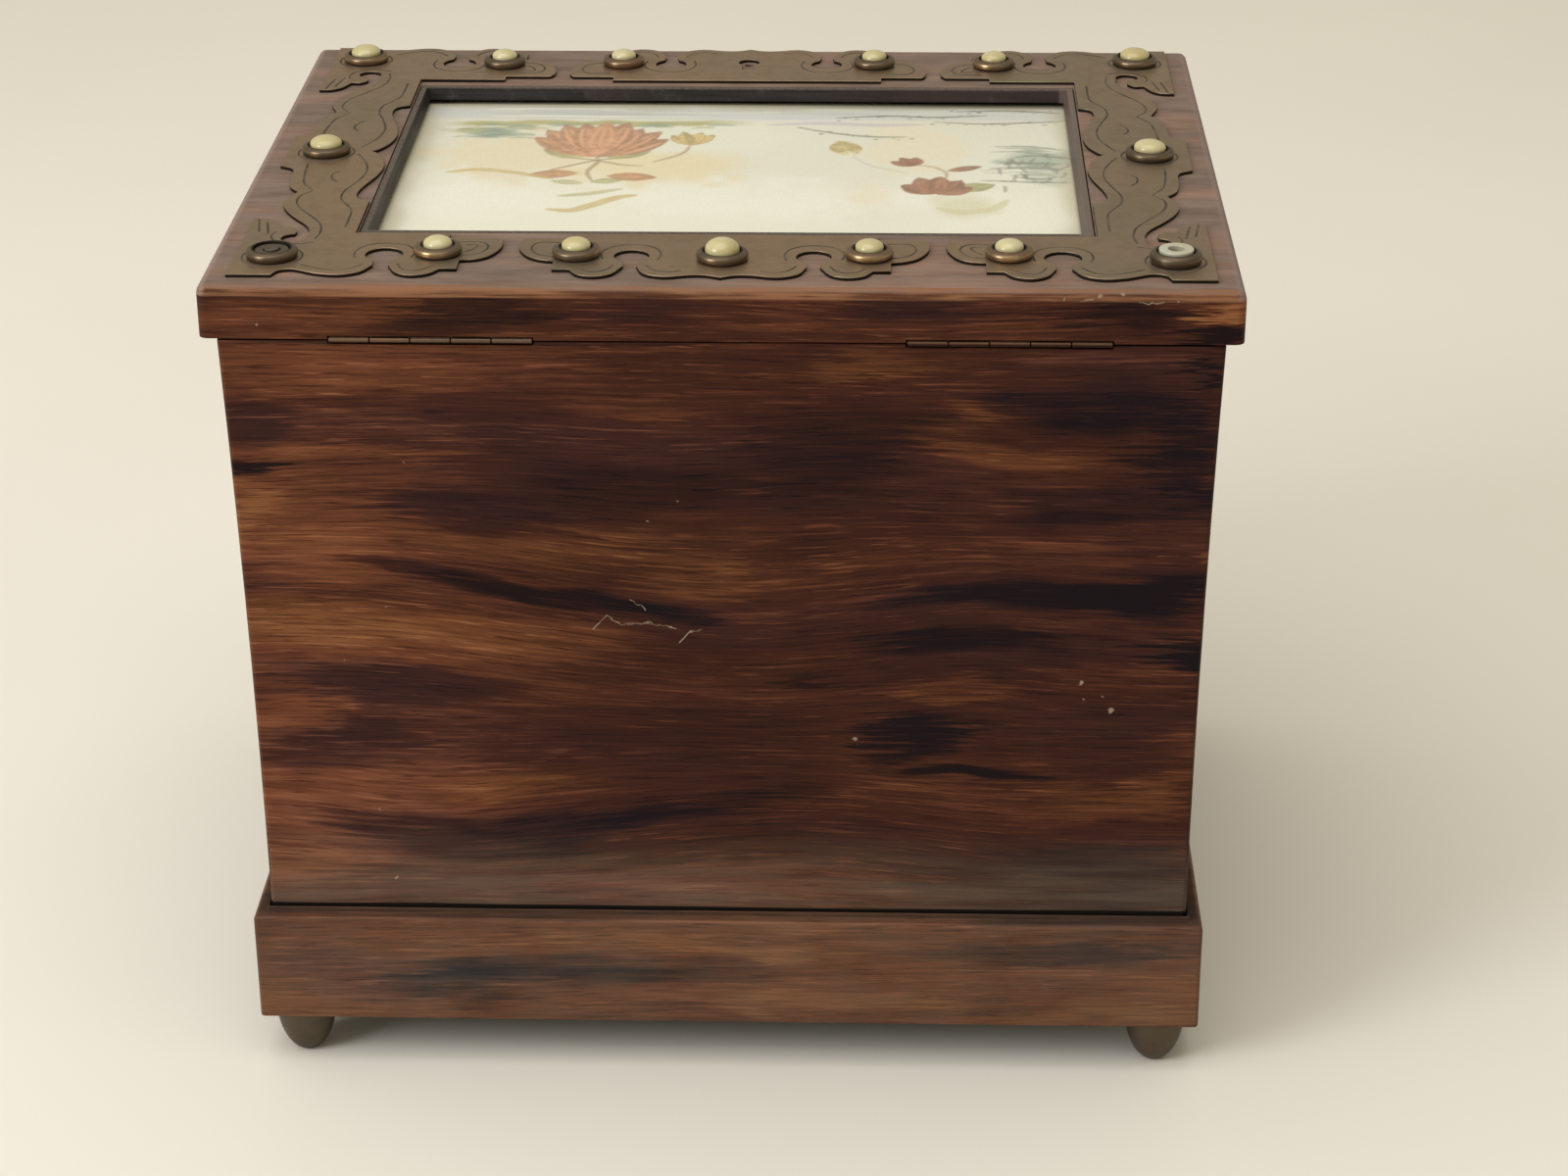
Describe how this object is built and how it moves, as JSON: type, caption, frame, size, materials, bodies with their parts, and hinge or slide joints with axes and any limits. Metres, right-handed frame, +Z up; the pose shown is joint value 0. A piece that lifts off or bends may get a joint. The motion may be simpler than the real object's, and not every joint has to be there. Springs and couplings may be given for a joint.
{
  "type": "treasure box",
  "caption": "Deep hinged wooden box on bullet feet, with a framed painted panel, pierced brass strapwork and domed studs set in the lid.",
  "frame": {"origin": "on the ground under the middle of the plinth, which is the bottom centre of the whole part's bounds", "axes": "+Z up, +Y towards the front of the box, away from the hinges, +X to the right as seen from the hinged back"},
  "size_m": [0.24, 0.196, 0.2116],
  "materials": {
    "rosewood": "semi-gloss polish over dark streaked veneer",
    "dark_moulding": "worn satin",
    "painted_panel": "painted in colours on a pale ground, glossy",
    "strapwork_brass": "brown patina, engraved, satin",
    "collet_brass": "aged, with rubbed highlights",
    "ivory": "polished, pale yellow",
    "bone": "dull, pale",
    "foot_brass": "dull grey-brown patina",
    "hinge_brass": "aged, bare in places"
  },
  "bodies": {
    "box": {"body": "rosewood", "plinth": "rosewood", "foot_back_left": "foot_brass", "foot_back_right": "foot_brass", "foot_front_left": "foot_brass", "foot_front_right": "foot_brass", "hinge_left_box_leaf": "hinge_brass", "hinge_right_box_leaf": "hinge_brass"},
    "lid": {"lid": "rosewood", "picture_moulding": "dark_moulding", "picture": "painted_panel", "strapwork_left": "strapwork_brass", "strapwork_right": "strapwork_brass", "strapwork_back": "strapwork_brass", "strapwork_front": "strapwork_brass", "collet_back_1": "collet_brass", "collet_back_2": "collet_brass", "collet_back_3": "collet_brass", "collet_back_4": "collet_brass", "collet_back_5": "collet_brass", "collet_back_6": "collet_brass", "collet_back_7": "collet_brass", "collet_front_1": "collet_brass", "collet_front_2": "collet_brass", "collet_front_3": "collet_brass", "collet_front_5": "collet_brass", "collet_front_6": "collet_brass", "collet_front_7": "collet_brass", "collet_side_left": "collet_brass", "collet_side_right": "collet_brass", "cabochon_back_2": "ivory", "cabochon_back_3": "ivory", "cabochon_back_4": "ivory", "cabochon_back_5": "ivory", "cabochon_back_6": "ivory", "cabochon_front_1": "ivory", "cabochon_front_2": "ivory", "cabochon_front_3": "ivory", "cabochon_front_5": "ivory", "cabochon_front_6": "ivory", "cabochon_front_7": "ivory", "cabochon_side_left": "ivory", "cabochon_side_right": "ivory", "bone_ring": "bone", "hinge_left_lid_leaf": "hinge_brass", "hinge_right_lid_leaf": "hinge_brass"}
  },
  "joints": [
    {"name": "lid_hinge", "type": "hinge", "parent": "box", "child": "lid", "pos_m": [0, -0.094, 0.1928], "axis": [1, 0, 0], "range_deg": [0, 110]}
  ]
}
